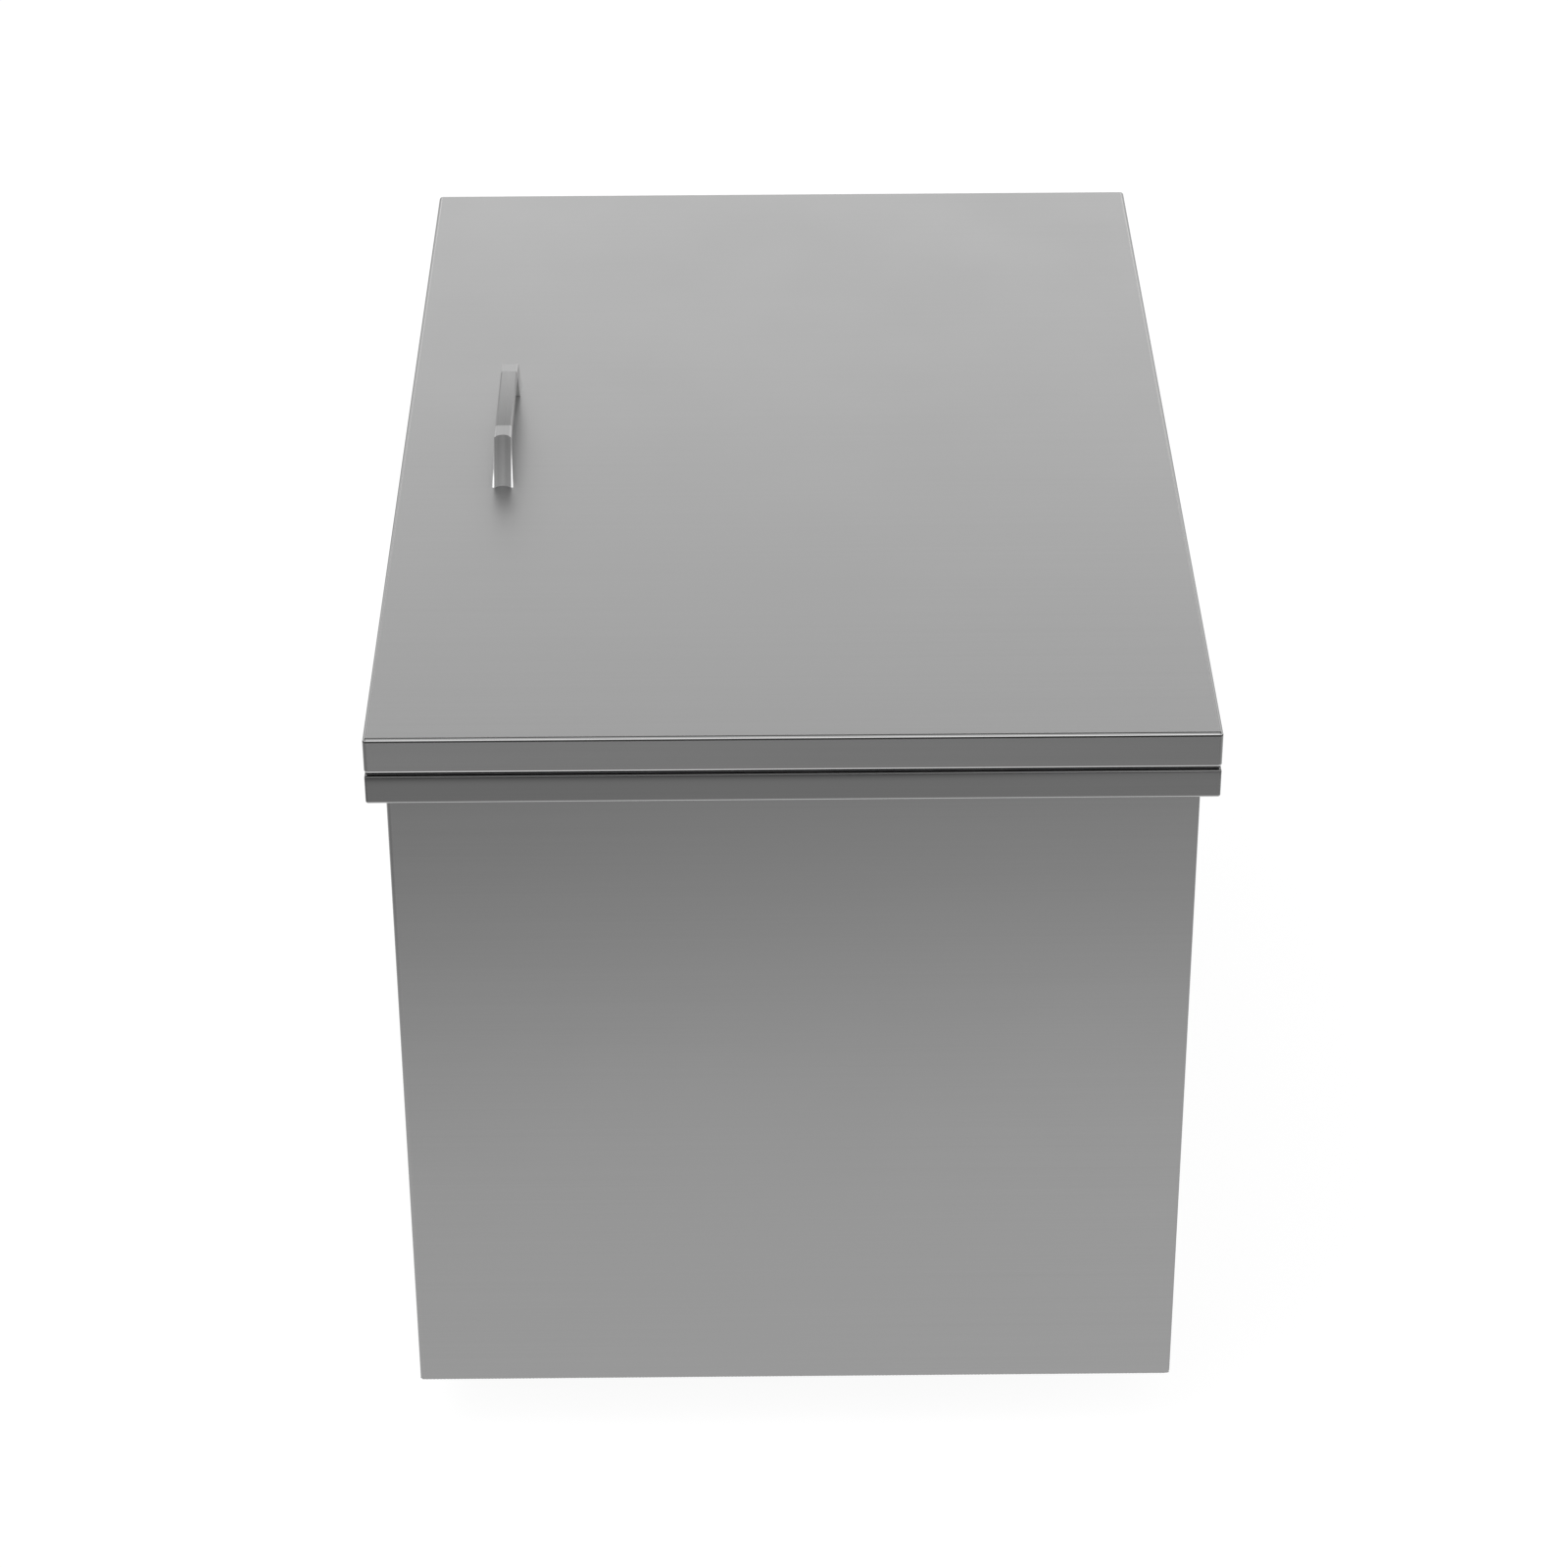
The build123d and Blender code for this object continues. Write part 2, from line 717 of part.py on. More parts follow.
def plug_loop():
    """The bent wire loop that the stopper is lifted by."""
    boss_top = sump_level + drain_washer_sheet + drain_flange_sheet + plug_lip_height + plug_boss_height
    foot = boss_top - loop_embed
    shoulder = boss_top + loop_leg
    left = Line((-loop_radius, 0, foot), (-loop_radius, 0, shoulder))
    over = ThreePointArc(
        (-loop_radius, 0, shoulder), (0, 0, shoulder + loop_radius), (loop_radius, 0, shoulder)
    )
    right = Line((loop_radius, 0, shoulder), (loop_radius, 0, foot))
    section = Plane(origin=(-loop_radius, 0, foot), z_dir=(0, 0, 1)) * Circle(loop_wire_radius)
    return sweep(section, path=Wire([left, over, right]))


def plug_body(loop):
    """The rubber stopper: a cone in the seat, a lip on the flange and a boss for the loop."""
    seat_top = drain_washer_sheet + drain_flange_sheet
    cone_low = seat_top - plug_depth
    lip_top = sump_level + seat_top + plug_lip_height
    points = [
        (0, sump_level + cone_low),
        (drain_seat_radius_at(cone_low) - plug_gap, sump_level + cone_low),
        (drain_seat_radius - plug_gap, sump_level + seat_top),
        (plug_lip_radius, sump_level + seat_top),
        (plug_lip_radius, lip_top - plug_lip_edge),
        (plug_lip_radius - plug_lip_edge, lip_top),
        (plug_boss_radius, lip_top),
        (plug_boss_radius - plug_lip_edge, lip_top + plug_boss_height),
        (0, lip_top + plug_boss_height),
    ]
    return turned(points) - loop


def all_parts():
    """Every sub-part by its node name."""
    loop = plug_loop()
    return {
        "tank_liner": tank_liner(),
        "top_rim": top_rim(),
        "casing_wrap": front_wrap(),
        "casing_back": back_panel(),
        "base_pan": base_pan(),
        "foam_board_floor": floor_board(),
        **wall_boards(),
        "hinge_leaf_lower": hinge_leaf(upper=False),
        "hinge_pin": hinge_pin(),
        "rim_hinge_bar": rim_stiffener(),
        "drain_body": drain_body(),
        "drain_crossbar": drain_crossbar(),
        "drain_washer": drain_washer(),
        "drain_sleeve": drain_sleeve(),
        "lock_washer": lock_washer(),
        "drain_locknut": drain_locknut(),
        "drain_strainer": drain_strainer(),
        "strainer_screw": strainer_screw(),
        "lid_pan": lid_pan(),
        "lid_liner": lid_liner(),
        "lid_foam": lid_foam(),
        "lid_seal": lid_seal(),
        "hinge_leaf_upper": hinge_leaf(upper=True),
        "lid_hinge_bar": lid_stiffener(),
        "handle_bar": handle_bar(),
        "handle_backing": handle_backing(),
        "handle_screws": handle_screws(),
        "plug_body": plug_body(loop),
        "plug_loop": loop,
    }


os.makedirs("parts", exist_ok=True)
for node_name, shape in all_parts().items():
    export_step(shape, f"parts/{node_name}.step")
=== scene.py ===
import math
import bpy
import numpy as np
from mathutils import Matrix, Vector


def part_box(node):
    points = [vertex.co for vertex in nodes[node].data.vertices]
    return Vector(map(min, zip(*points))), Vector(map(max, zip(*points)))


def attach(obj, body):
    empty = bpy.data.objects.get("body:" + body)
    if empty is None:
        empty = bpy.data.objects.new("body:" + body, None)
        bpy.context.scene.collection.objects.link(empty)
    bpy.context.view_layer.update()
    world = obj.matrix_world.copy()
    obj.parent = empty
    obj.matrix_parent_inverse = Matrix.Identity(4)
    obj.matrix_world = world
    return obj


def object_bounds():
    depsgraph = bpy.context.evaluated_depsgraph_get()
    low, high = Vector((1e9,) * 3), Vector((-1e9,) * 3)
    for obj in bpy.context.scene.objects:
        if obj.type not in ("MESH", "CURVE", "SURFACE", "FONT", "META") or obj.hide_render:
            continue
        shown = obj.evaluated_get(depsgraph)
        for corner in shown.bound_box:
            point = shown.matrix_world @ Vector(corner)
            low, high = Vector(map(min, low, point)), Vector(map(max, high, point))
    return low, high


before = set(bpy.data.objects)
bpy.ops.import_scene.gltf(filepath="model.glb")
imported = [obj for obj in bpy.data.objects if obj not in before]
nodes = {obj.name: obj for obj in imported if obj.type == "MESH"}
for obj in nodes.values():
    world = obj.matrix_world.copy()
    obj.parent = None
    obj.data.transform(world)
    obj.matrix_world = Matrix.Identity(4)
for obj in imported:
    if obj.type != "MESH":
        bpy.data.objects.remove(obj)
cadLow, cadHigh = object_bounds()


# Small helpers for shader trees

def addNode(tree, kind, inputs=None, **settings):
    # a new node: settings are its own options, inputs are values or sockets to link
    node = tree.nodes.new(kind)
    for key, value in settings.items():
        setattr(node, key, value)
    for key, value in (inputs or {}).items():
        if isinstance(value, bpy.types.NodeSocket):
            tree.links.new(value, node.inputs[key])
        else:
            node.inputs[key].default_value = value
    return node


def maths(tree, operation, first, second=0.0, third=0.0):
    inputs = {0: first, 1: second, 2: third}
    return addNode(tree, "ShaderNodeMath", inputs, operation=operation).outputs[0]


def product(tree, first, *others):
    for other in others:
        first = maths(tree, "MULTIPLY", first, other)
    return first


def absolute(tree, value):
    return maths(tree, "ABSOLUTE", value)


def remap(tree, value, fromLow, fromHigh, toLow, toHigh, kind="LINEAR"):
    inputs = {"Value": value, "From Min": fromLow, "From Max": fromHigh,
              "To Min": toLow, "To Max": toHigh}
    return addNode(tree, "ShaderNodeMapRange", inputs, interpolation_type=kind).outputs["Result"]


def rise(tree, value, start, end):
    # nothing at the start and one at the end, which may be the lower of the two
    return remap(tree, value, start, end, 0.0, 1.0)


noiseSpan = (0.3, 0.7)    # nearly all of a noise's values lie between these


def vary(tree, value, low, high):
    return remap(tree, value, *noiseSpan, low, high)


def splitXYZ(tree, vector):
    return addNode(tree, "ShaderNodeSeparateXYZ", {0: vector}).outputs


def noise(tree, place, stretch, detail=2.0, rough=0.5):
    # noise on Object coordinates: stretch is cycles a metre, one number or one each for X, Y and Z
    scale = stretch if isinstance(stretch, tuple) else (stretch,) * 3
    mapped = addNode(tree, "ShaderNodeMapping", {"Vector": place.outputs["Object"], "Scale": scale})
    inputs = {"Vector": mapped.outputs[0], "Scale": 1.0, "Detail": detail, "Roughness": rough}
    return addNode(tree, "ShaderNodeTexNoise", inputs).outputs["Fac"]


def mixValues(tree, share, low, high):
    return addNode(tree, "ShaderNodeMix", {0: share, 2: low, 3: high}, data_type="FLOAT").outputs[0]


def mixColours(tree, share, low, high):
    return addNode(tree, "ShaderNodeMix", {0: share, 6: low, 7: high}, data_type="RGBA").outputs[2]


def grey(level):
    return (level, level, level, 1.0)


def bowed(tree, along, half):
    # one in the middle and nothing at half the length: it falls with the square of the place along it
    part = maths(tree, "DIVIDE", along, half)
    return maths(tree, "MULTIPLY_ADD", product(tree, part, part), -1.0, 1.0)


def newMaterial(name):
    material = bpy.data.materials.new(name)
    material.use_nodes = True
    tree = material.node_tree
    tree.nodes.clear()
    output = addNode(tree, "ShaderNodeOutputMaterial")
    shader = addNode(tree, "ShaderNodeBsdfPrincipled")
    tree.links.new(shader.outputs[0], output.inputs["Surface"])
    place = addNode(tree, "ShaderNodeTexCoord")
    return material, tree, shader, place


def setMetal(tree, shader, colour, rough):
    tree.links.new(colour, shader.inputs["Base Color"])
    tree.links.new(rough, shader.inputs["Roughness"])
    shader.inputs["Metallic"].default_value = 1.0


def greyOf(tree, shade):
    return addNode(tree, "ShaderNodeCombineColor", {0: shade, 1: shade, 2: shade}).outputs[0]


def setBump(tree, shader, layers):
    # one bump on top of another, each layer is height, depth in metres and strength
    normal = None
    for height, depth, strength in layers:
        inputs = {"Height": height, "Distance": depth, "Strength": strength}
        if normal is not None:
            inputs["Normal"] = normal
        normal = addNode(tree, "ShaderNodeBump", inputs).outputs[0]
    tree.links.new(normal, shader.inputs["Normal"])


# Steel finishes. The roughness goes up and down by the spread, the grain is the way the sheet is
# brushed, and crown is how far the lid bows up, in metres. These change the shade by a factor and
# are painted light and shade: hem a painted highlight on the folds that turn under, sideFold painted
# shade on the top folds of the long sides (where they start and finish), bendLines a painted dark line
# on the two lines of the short ends' folds, ends painted light and shade on the short ends' faces (at
# the handle's side and at the hinge's), underSeam painted shade just under the seam, and top on the
# rim's flat top, which lifts it back out of the rim's painted shade.

wrapLow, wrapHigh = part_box("casing_wrap")
rimLow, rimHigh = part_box("top_rim")
steelLook = {
    "casing": {"shade": 0.50, "roughness": 0.31, "spread": 0.03, "grain": "level"},
    # the rim's shade is set darker than the other steel's, as painted shade on its skirts under the lid
    "rim": {"shade": 0.36, "roughness": 0.34, "spread": 0.03, "grain": "mitred",
            "hem": 1.85, "underSeam": 0.34, "top": 1.35, "ends": (1.10, 1.07)},
    "lid": {"shade": 0.493, "roughness": 0.39, "spread": 0.03, "grain": "across", "crown": 0.0049,
            "hem": 1.7, "sideFold": (0.5, 0.9), "bendLines": 0.30, "ends": (1.09, 0.85)},
    # the tank's shade is set lighter than the other steel's, as painted light against the shade inside
    # it
    "tank": {"shade": 0.78, "roughness": 0.36, "spread": 0.04, "grain": "drawn"},
    "lidInside": {"shade": 0.62, "roughness": 0.36, "spread": 0.04, "grain": "drawn"},
    "hinge": {"shade": 0.47, "roughness": 0.33, "spread": 0.06, "grain": "long"},
    "inner": {"shade": 0.45, "roughness": 0.40, "spread": 0.08, "grain": "long"},
}
grainSize = {
    "fine": 1300.0,        # cycles a metre across the brushing
    "coarse": 320.0,
    "along": 3.0,          # cycles a metre along it
    "drawnDetail": 3.0,
    "fineShare": 0.6,      # of the fine lines in the streaks, the rest is coarse
    "tone": 0.02,          # how much lighter and darker the streaks are
    "fineDepth": 0.000006,
    "fineStrength": 0.5,
    "smudge": (9.0, 4.0, 0.6),    # cycles a metre, detail and roughness
    "wave": (2.6, 1.0),           # broad unevenness of the sheet: cycles a metre and detail
    "waveDepth": 0.0011,
    "waveStrength": 0.35,
}
foldLook = {
    "roughness": 0.13,
    "dullRoughness": 0.45,
    "flat": 0.9995,                          # the normal's largest part on a flat
    "bent": 0.985,                           # and on a bend
    "bandReach": 0.006,                      # how far down the rim the band of painted shade under the seam reaches
    "bandWhole": 0.0005,                     # and how far down it is whole
    "bandPower": 2.0,                        # its strength is this power of the way up it
    "clearStart": 0.03, "clearEnd": 0.21,    # where the band of painted shade thins out towards the hinge's side
    "clearFlat": 0.2, "clearBend": 0.7,      # and how much of it is left there, on a flat and on a bend
}
# parts of the normal, from where each zone starts to where it is whole
zone = {
    "under": (-0.05, -0.25),       # upward part: folds that turn under
    "above": (0.05, 0.25),         # folds that turn up on to the top
    "foldTurn": (0.93, 0.80),      # from the start of a top fold to its finish
    "firstLine": (0.84, 0.90),     # the line where a top fold starts
    "lastLine": (0.50, 0.42),      # and the line where it finishes
    "offTop": (0.99, 0.90),        # all but the top
    "onTop": (0.995, 0.999),       # only the flat top
    "sideways": (0.1, 0.3),        # part along Y: folds of the long sides
    "endways": (0.1, 0.2),         # part along X: folds of the short ends
    "onEnd": (0.90, 0.95),         # the short ends' faces
    "mostly": 0.6,                 # faces one way rather than the other
}


def foldShare(tree, place):
    # one on a bend of folded sheet and nothing on its flats: there the normal lies along an axis
    size = addNode(tree, "ShaderNodeVectorMath", {0: place.outputs["Normal"]}, operation="ABSOLUTE")
    part = splitXYZ(tree, size.outputs[0])
    most = maths(tree, "MAXIMUM", maths(tree, "MAXIMUM", part[0], part[1]), part[2])
    return rise(tree, most, foldLook["flat"], foldLook["bent"])


def foldTone(tree, normal, look, folded):
    # a painted highlight on the hems, painted shade on the long sides' top folds, and a painted dark
    # line at each side of the short ends' folds
    under = rise(tree, normal[2], *zone["under"])
    tone = mixValues(tree, product(tree, under, folded), 1.0, look.get("hem", 1.0))
    if "sideFold" not in look:
        return tone
    above = rise(tree, normal[2], *zone["above"])
    sideways = rise(tree, absolute(tree, normal[1]), *zone["sideways"])
    turned = remap(tree, normal[2], *zone["foldTurn"], *look["sideFold"])
    tone = mixValues(tree, product(tree, sideways, above, folded), tone, turned)
    endways = rise(tree, absolute(tree, normal[0]), *zone["endways"])
    firstLine = rise(tree, normal[2], *zone["firstLine"])
    lastLine = rise(tree, normal[2], *zone["lastLine"])
    lines = maths(tree, "MAXIMUM", firstLine, lastLine)
    return mixValues(tree, product(tree, lines, above, endways, folded), tone, look["bendLines"])


def endTone(tree, normal, where, ends):
    # painted light and shade: the short ends' faces change a little in shade from the handle's side to
    # the hinge's
    onEnd = rise(tree, absolute(tree, normal[0]), *zone["onEnd"])
    lean = remap(tree, where[1], rimLow.y, rimHigh.y, *ends)
    return mixValues(tree, onEnd, 1.0, lean)


def seamShare(tree, normal, where, folded):
    # the band of painted shade under the seam: one just under it, and less towards the hinge's side
    start, end = rimHigh.z - foldLook["bandReach"], rimHigh.z - foldLook["bandWhole"]
    near = maths(tree, "POWER", rise(tree, where[2], start, end), foldLook["bandPower"])
    left = mixValues(tree, folded, foldLook["clearFlat"], foldLook["clearBend"])
    clear = remap(tree, where[1], foldLook["clearStart"], foldLook["clearEnd"], 1.0, left)
    return product(tree, near, clear, rise(tree, normal[2], *zone["offTop"]))


def edgeTone(tree, place, look, folded):
    # the factor of painted light and shade on the shade, and how much of the painted shade under the
    # seam there is
    normal = splitXYZ(tree, place.outputs["Normal"])
    where = splitXYZ(tree, place.outputs["Object"])
    tone = foldTone(tree, normal, look, folded)
    if "ends" in look:
        tone = product(tree, tone, endTone(tree, normal, where, look["ends"]))
    if "underSeam" not in look:
        return tone, 0.0
    seamShadeAndDull = seamShare(tree, normal, where, folded)
    onTop = remap(tree, normal[2], *zone["onTop"], 1.0, look["top"])
    return product(tree, mixValues(tree, seamShadeAndDull, tone, look["underSeam"]), onTop), seamShadeAndDull


def directedNoise(tree, place, grain, across):
    # the noise that is long along the brushing and short across it, on each face of a folded sheet:
    # level is round the sides, long is along X, drawn has no direction and across is over the lid and
    # down its long sides
    along = grainSize["along"]
    alongX = (along, across, across)
    alongY = (across, along, across)
    alongZ = (across, across, along)
    level = (along, along, across)
    if grain == "level":
        return noise(tree, place, level)
    if grain == "long":
        return noise(tree, place, alongX)
    if grain == "drawn":
        return noise(tree, place, across, grainSize["drawnDetail"])
    normal = splitXYZ(tree, place.outputs["Normal"])
    if grain == "across":
        turned = maths(tree, "GREATER_THAN", absolute(tree, normal[1]), zone["mostly"])
        return mixValues(tree, turned, noise(tree, place, alongY), noise(tree, place, alongZ))
    # mitred: level on the skirts, and along each side's own length on the top
    where = splitXYZ(tree, place.outputs["Object"])
    fromMitre = maths(tree, "SUBTRACT", absolute(tree, where[0]), rimHigh.x - rimHigh.y)
    atEnd = maths(tree, "GREATER_THAN", fromMitre, absolute(tree, where[1]))
    onTop = maths(tree, "GREATER_THAN", absolute(tree, normal[2]), zone["mostly"])
    top = mixValues(tree, atEnd, noise(tree, place, alongX), noise(tree, place, alongY))
    return mixValues(tree, onTop, noise(tree, place, level), top)


def brushedSteel(name, look):
    material, tree, shader, place = newMaterial(name)
    fine = directedNoise(tree, place, look["grain"], grainSize["fine"])
    coarse = directedNoise(tree, place, look["grain"], grainSize["coarse"])
    smudge = noise(tree, place, *grainSize["smudge"])
    streak = mixValues(tree, grainSize["fineShare"], coarse, fine)
    folded = foldShare(tree, place)
    # the factor of painted light and shade, and the mask of the painted shade under the seam, where the
    # bends are also rougher
    edge, seamShadeAndDull = edgeTone(tree, place, look, folded)
    dark, light = [look["shade"] * (1 + sign * grainSize["tone"]) for sign in (-1, 1)]
    shade = product(tree, vary(tree, streak, dark, light), edge)
    uneven = mixValues(tree, 0.5, streak, smudge)
    low, high = [look["roughness"] + sign * look["spread"] for sign in (-1, 1)]
    foldRough = mixValues(tree, seamShadeAndDull, foldLook["roughness"], foldLook["dullRoughness"])
    rough = mixValues(tree, folded, vary(tree, uneven, low, high), foldRough)
    setMetal(tree, shader, greyOf(tree, shade), rough)
    wave = noise(tree, place, *grainSize["wave"])
    layers = [(wave, grainSize["waveDepth"], grainSize["waveStrength"]),
              (fine, grainSize["fineDepth"], grainSize["fineStrength"])]
    if "crown" in look:
        # the sheet bows up a little in the middle of its length
        along = splitXYZ(tree, place.outputs["Object"])[0]
        layers.insert(0, (bowed(tree, along, cadHigh.x), look["crown"], 1.0))
    setBump(tree, shader, layers)
    return material


# Bright and turned steel

brightLook = {
    "shade": 0.62, "shadeSpread": (0.96, 1.04),
    "roughness": 0.12, "roughSpread": (0.7, 1.4),
    "scratch": (220.0, 6.0, 0.7),    # cycles a metre, detail and roughness
    "depth": 0.00001, "strength": 0.3,
}
turnedLook = {
    "shade": 0.54, "shadeSpread": (0.94, 1.05),
    "roughness": 0.24, "roughSpread": (0.8, 1.3),
    "rings": 900.0,                  # a metre
    "slope": 0.7,                    # how much height counts beside the distance from the axis
    "wobble": 60.0,                  # cycles a metre
    "wobbleTurn": 2.0,               # radians
    "depth": 0.00002, "strength": 0.5,
}


def brightSteel(name):
    # polished, with fine scratches in every direction
    look = brightLook
    material, tree, shader, place = newMaterial(name)
    scratch = noise(tree, place, *look["scratch"])
    dark, light = [grey(look["shade"] * factor) for factor in look["shadeSpread"]]
    low, high = [look["roughness"] * factor for factor in look["roughSpread"]]
    setMetal(tree, shader, mixColours(tree, scratch, dark, light), vary(tree, scratch, low, high))
    setBump(tree, shader, [(scratch, look["depth"], look["strength"])])
    return material


def turnedSteel(name):
    # lathe marks: rings about the drain's axis, their height a sine of the distance from it
    look = turnedLook
    material, tree, shader, place = newMaterial(name)
    where = splitXYZ(tree, place.outputs["Object"])
    square = maths(tree, "MULTIPLY_ADD", where[0], where[0], product(tree, where[1], where[1]))
    radius = maths(tree, "SQRT", square)
    travel = maths(tree, "ADD", radius, product(tree, where[2], look["slope"]))
    wobble = noise(tree, place, look["wobble"])
    turn = product(tree, wobble, look["wobbleTurn"])
    phase = maths(tree, "MULTIPLY_ADD", travel, look["rings"] * 2 * math.pi, turn)
    rings = remap(tree, maths(tree, "SINE", phase), -1.0, 1.0, 0.0, 1.0)
    dark, light = [grey(look["shade"] * factor) for factor in look["shadeSpread"]]
    low, high = [look["roughness"] * factor for factor in look["roughSpread"]]
    setMetal(tree, shader, mixColours(tree, rings, dark, light), vary(tree, wobble, low, high))
    setBump(tree, shader, [(rings, look["depth"], look["strength"])])
    return material


handleLook = {
    "grip": 0.335, "shoulder": 0.62,                # shades, the shoulders' lighter one painted light
    "inner": 0.75,                                  # a leg's inner face, painted lighter where it lies in shade
    "scoop": (0.25, 0.35),                          # its outer face, at its top and at its foot, painted dark as shade
    "edgeTop": 0.30, "edge": 0.78,                  # its flat edges, at the top and lower down, a painted highlight
    "satin": 0.30, "polished": 0.11,                # roughness of the grip and of the flat edges
    "shoulderRough": 0.58, "scoopRough": 0.50,
    "grain": (5.0, 1100.0, 5.0),                    # cycles a metre
    "shadeSpread": (0.96, 1.04), "roughSpread": (0.88, 1.12),
    "depth": 0.00001, "strength": 0.3,
    "crown": 0.0009,                                # how far the grip bows up, in metres
    "gripEndShare": 0.54, "legTopShare": 0.735,     # of half the handle's length
    # where the painted highlight on the flat edges starts and where it is full, as shares of half the
    # length, first on the side of the lid's near edge and then on the other
    "edgeStart": (0.90, 0.77), "edgeEnd": (0.96, 0.86),
    "scoopShare": 0.84,                             # of half its width at the feet
    "blur": 0.0004,                                 # metres
    "facing": (0.30, 0.36),                         # the normal's outward part, off and on a leg's face
}


def handleSteel(name):
    # satin along the grip and in the scooped legs, polished on the legs' edges and flanks, with painted
    # light and shade in its shades
    material, tree, shader, place = newMaterial(name)
    low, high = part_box("handle_bar")
    look = handleLook
    where = splitXYZ(tree, place.outputs["Object"])
    normal = splitXYZ(tree, place.outputs["Normal"])
    along = absolute(tree, where[0])
    across = maths(tree, "SUBTRACT", where[1], (low.y + high.y) / 2)
    inward = maths(tree, "GREATER_THAN", across, 0.0)
    outward = product(tree, maths(tree, "SIGN", where[0]), normal[0])
    blur = look["blur"]
    gripEnd, legTop = look["gripEndShare"] * high.x, look["legTopShare"] * high.x
    scoopSide = look["scoopShare"] * (high.y - low.y) / 2
    onShoulder = rise(tree, along, gripEnd - blur, gripEnd + blur)
    facesOut = rise(tree, outward, *look["facing"])
    facesIn = rise(tree, outward, *[-part for part in look["facing"]])
    onLeg = maths(tree, "MAXIMUM", rise(tree, along, legTop - blur, legTop + blur), facesOut)
    inside = rise(tree, absolute(tree, across), scoopSide + blur / 2, scoopSide - blur / 2)
    inScoop = product(tree, facesOut, inside)
    streak = noise(tree, place, look["grain"])
    start = mixValues(tree, inward, *[share * high.x for share in look["edgeStart"]])
    end = mixValues(tree, inward, *[share * high.x for share in look["edgeEnd"]])
    # a painted highlight along the flat edges, stronger towards the feet
    edge = remap(tree, along, start, end, look["edgeTop"], look["edge"])
    # painted shade on the legs' outer faces
    scoop = remap(tree, along, legTop, high.x, *look["scoop"])
    # the shoulders painted lighter than the grip
    top = mixValues(tree, onShoulder, look["grip"], look["shoulder"])
    leg = mixValues(tree, inScoop, edge, scoop)
    # the legs' inner faces painted lighter where they lie in shade
    shade = mixValues(tree, facesIn, mixValues(tree, onLeg, top, leg), look["inner"])
    topRough = mixValues(tree, onShoulder, look["satin"], look["shoulderRough"])
    legRough = mixValues(tree, inScoop, look["polished"], look["scoopRough"])
    outRough = mixValues(tree, onLeg, topRough, legRough)
    rough = mixValues(tree, facesIn, outRough, look["scoopRough"])
    streaky = product(tree, shade, vary(tree, streak, *look["shadeSpread"]))
    uneven = product(tree, rough, vary(tree, streak, *look["roughSpread"]))
    setMetal(tree, shader, greyOf(tree, streaky), uneven)
    # the grip bows up a little, as far as its ends
    bow = bowed(tree, maths(tree, "MINIMUM", along, gripEnd), gripEnd)
    setBump(tree, shader, [(bow, look["crown"], 1.0), (streak, look["depth"], look["strength"])])
    return material


# Rubber, foam and fibre

softLook = {
    "rubber": {
        "colour": (0.022, 0.022, 0.024, 1.0), "worn": (0.05, 0.05, 0.052, 1.0),
        "roughness": 0.62, "roughSpread": (0.85, 1.15),
        "grain": (1500.0, 3.0), "rubbed": (60.0, 4.0, 0.6), "rubbedFrom": (0.5, 0.75),
        "depth": 0.00003, "strength": 0.5,
    },
    "foam": {
        "colour": (0.80, 0.72, 0.50, 1.0), "cut": (0.66, 0.57, 0.36, 1.0), "roughness": 0.9,
        "cells": 900.0, "cloud": (25.0, 3.0),
        "open": (0.6, 0.1),      # distances from a cell's middle where the cut colour starts and is full
        "depth": 0.0003, "strength": 0.6,
    },
    "fibre": {
        "colour": (0.36, 0.07, 0.04, 1.0), "speck": (0.22, 0.04, 0.025, 1.0), "roughness": 0.7,
        "specks": ((700.0, 700.0, 2500.0), 4.0, 0.7), "speckFrom": (0.4, 0.65),
        "depth": 0.00008, "strength": 0.5,
    },
}


def rubber(name):
    # matt black, a little greyer where it is rubbed, with a fine moulded grain
    look = softLook["rubber"]
    material, tree, shader, place = newMaterial(name)
    grain = noise(tree, place, *look["grain"])
    rubbed = noise(tree, place, *look["rubbed"])
    worn = rise(tree, rubbed, *look["rubbedFrom"])
    low, high = [look["roughness"] * factor for factor in look["roughSpread"]]
    tree.links.new(mixColours(tree, worn, look["colour"], look["worn"]), shader.inputs["Base Color"])
    tree.links.new(vary(tree, rubbed, low, high), shader.inputs["Roughness"])
    setBump(tree, shader, [(grain, look["depth"], look["strength"])])
    return material


def rigidFoam(name):
    # closed cells of about a millimetre, cut open on the sawn faces
    look = softLook["foam"]
    material, tree, shader, place = newMaterial(name)
    inputs = {"Vector": place.outputs["Object"], "Scale": look["cells"]}
    cell = addNode(tree, "ShaderNodeTexVoronoi", inputs).outputs["Distance"]
    cloud = noise(tree, place, *look["cloud"])
    share = product(tree, rise(tree, cell, *look["open"]), cloud)
    tree.links.new(mixColours(tree, share, look["colour"], look["cut"]), shader.inputs["Base Color"])
    shader.inputs["Roughness"].default_value = look["roughness"]
    setBump(tree, shader, [(cell, look["depth"], look["strength"])])
    return material


def pressedFibre(name):
    look = softLook["fibre"]
    material, tree, shader, place = newMaterial(name)
    speck = noise(tree, place, *look["specks"])
    share = rise(tree, speck, *look["speckFrom"])
    tree.links.new(mixColours(tree, share, look["colour"], look["speck"]), shader.inputs["Base Color"])
    shader.inputs["Roughness"].default_value = look["roughness"]
    setBump(tree, shader, [(speck, look["depth"], look["strength"])])
    return material


